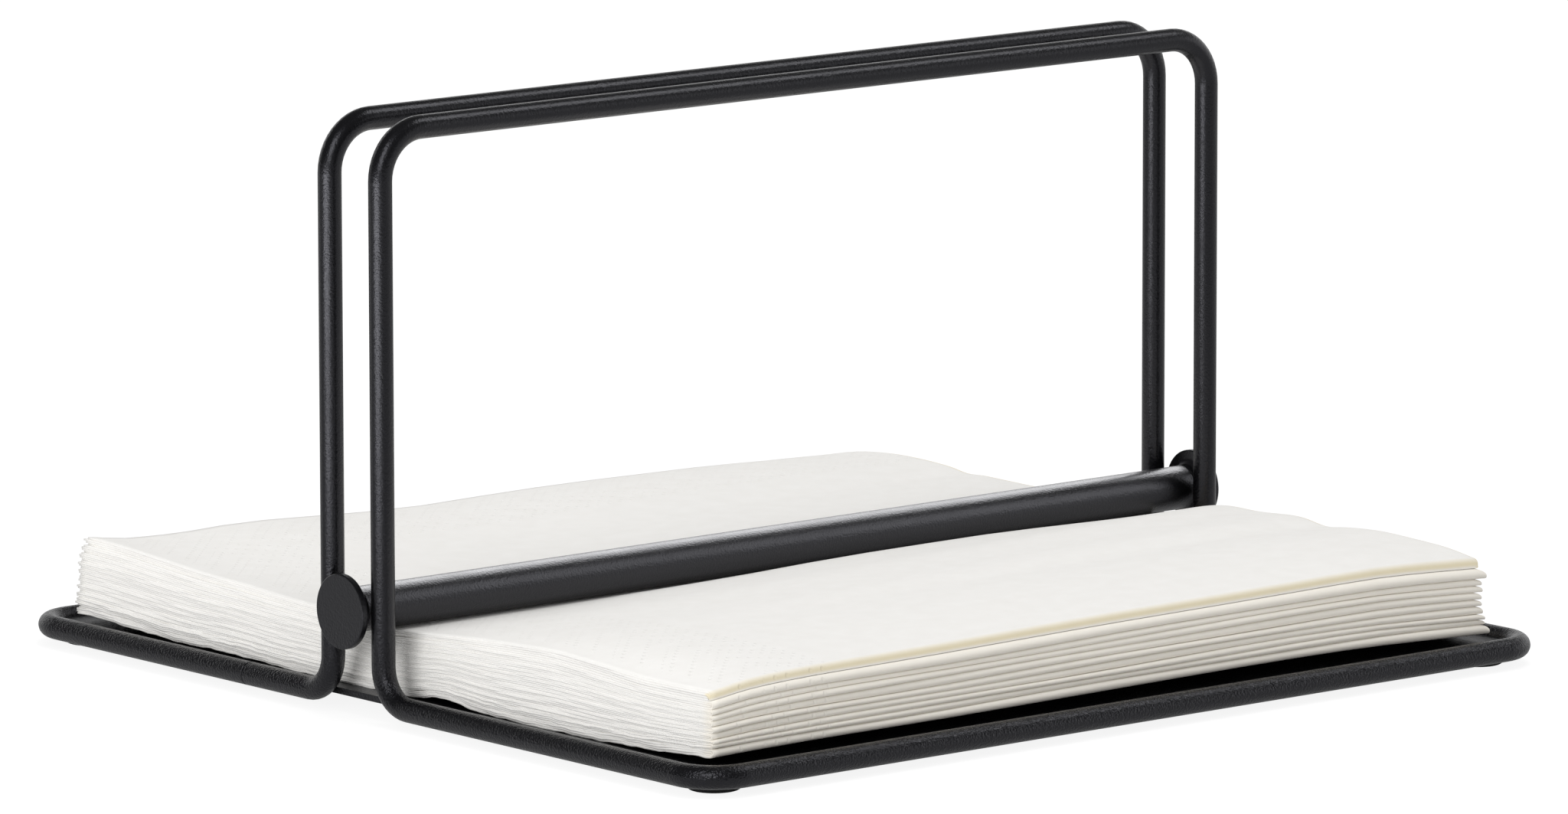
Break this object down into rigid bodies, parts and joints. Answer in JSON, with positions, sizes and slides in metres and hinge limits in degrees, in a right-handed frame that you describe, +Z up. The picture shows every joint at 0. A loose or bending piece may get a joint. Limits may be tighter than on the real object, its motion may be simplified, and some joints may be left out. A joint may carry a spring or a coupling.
{
  "type": "napkin holder",
  "caption": "Flat table napkin holder of bent black wire on a sheet plate, with a loose round weight bar in the slot between its loops that presses down a stack of folded paper napkins.",
  "frame": {"origin": "on the table, under the middle of the holder, level with the undersides of the feet", "axes": "+X along the weight bar to the right, +Y to the rear, +Z up"},
  "size_m": [0.2044, 0.2002, 0.1086],
  "materials": {
    "wire_coat": "satin",
    "plate_coat": "satin",
    "bar_coat": "satin",
    "foot_rubber": "matte",
    "napkin_paper": "matte"
  },
  "bodies": {
    "frame": {"front_wire_loop": "wire_coat", "rear_wire_loop": "wire_coat", "base_plate": "plate_coat", "foot_front_left": "foot_rubber", "foot_front_right": "foot_rubber", "foot_rear_left": "foot_rubber", "foot_rear_right": "foot_rubber", "napkin_01": "napkin_paper", "napkin_02": "napkin_paper", "napkin_03": "napkin_paper", "napkin_04": "napkin_paper", "napkin_05": "napkin_paper", "napkin_06": "napkin_paper", "napkin_07": "napkin_paper", "napkin_08": "napkin_paper", "napkin_09": "napkin_paper", "napkin_10": "napkin_paper"},
    "bar": {"weight_bar": "bar_coat", "left_end_cap": "bar_coat", "right_end_cap": "bar_coat"}
  },
  "joints": [
    {"name": "bar_lift", "type": "slide", "parent": "frame", "child": "bar", "axis": [0, 0, 1], "range_m": [0, 0.1]}
  ]
}
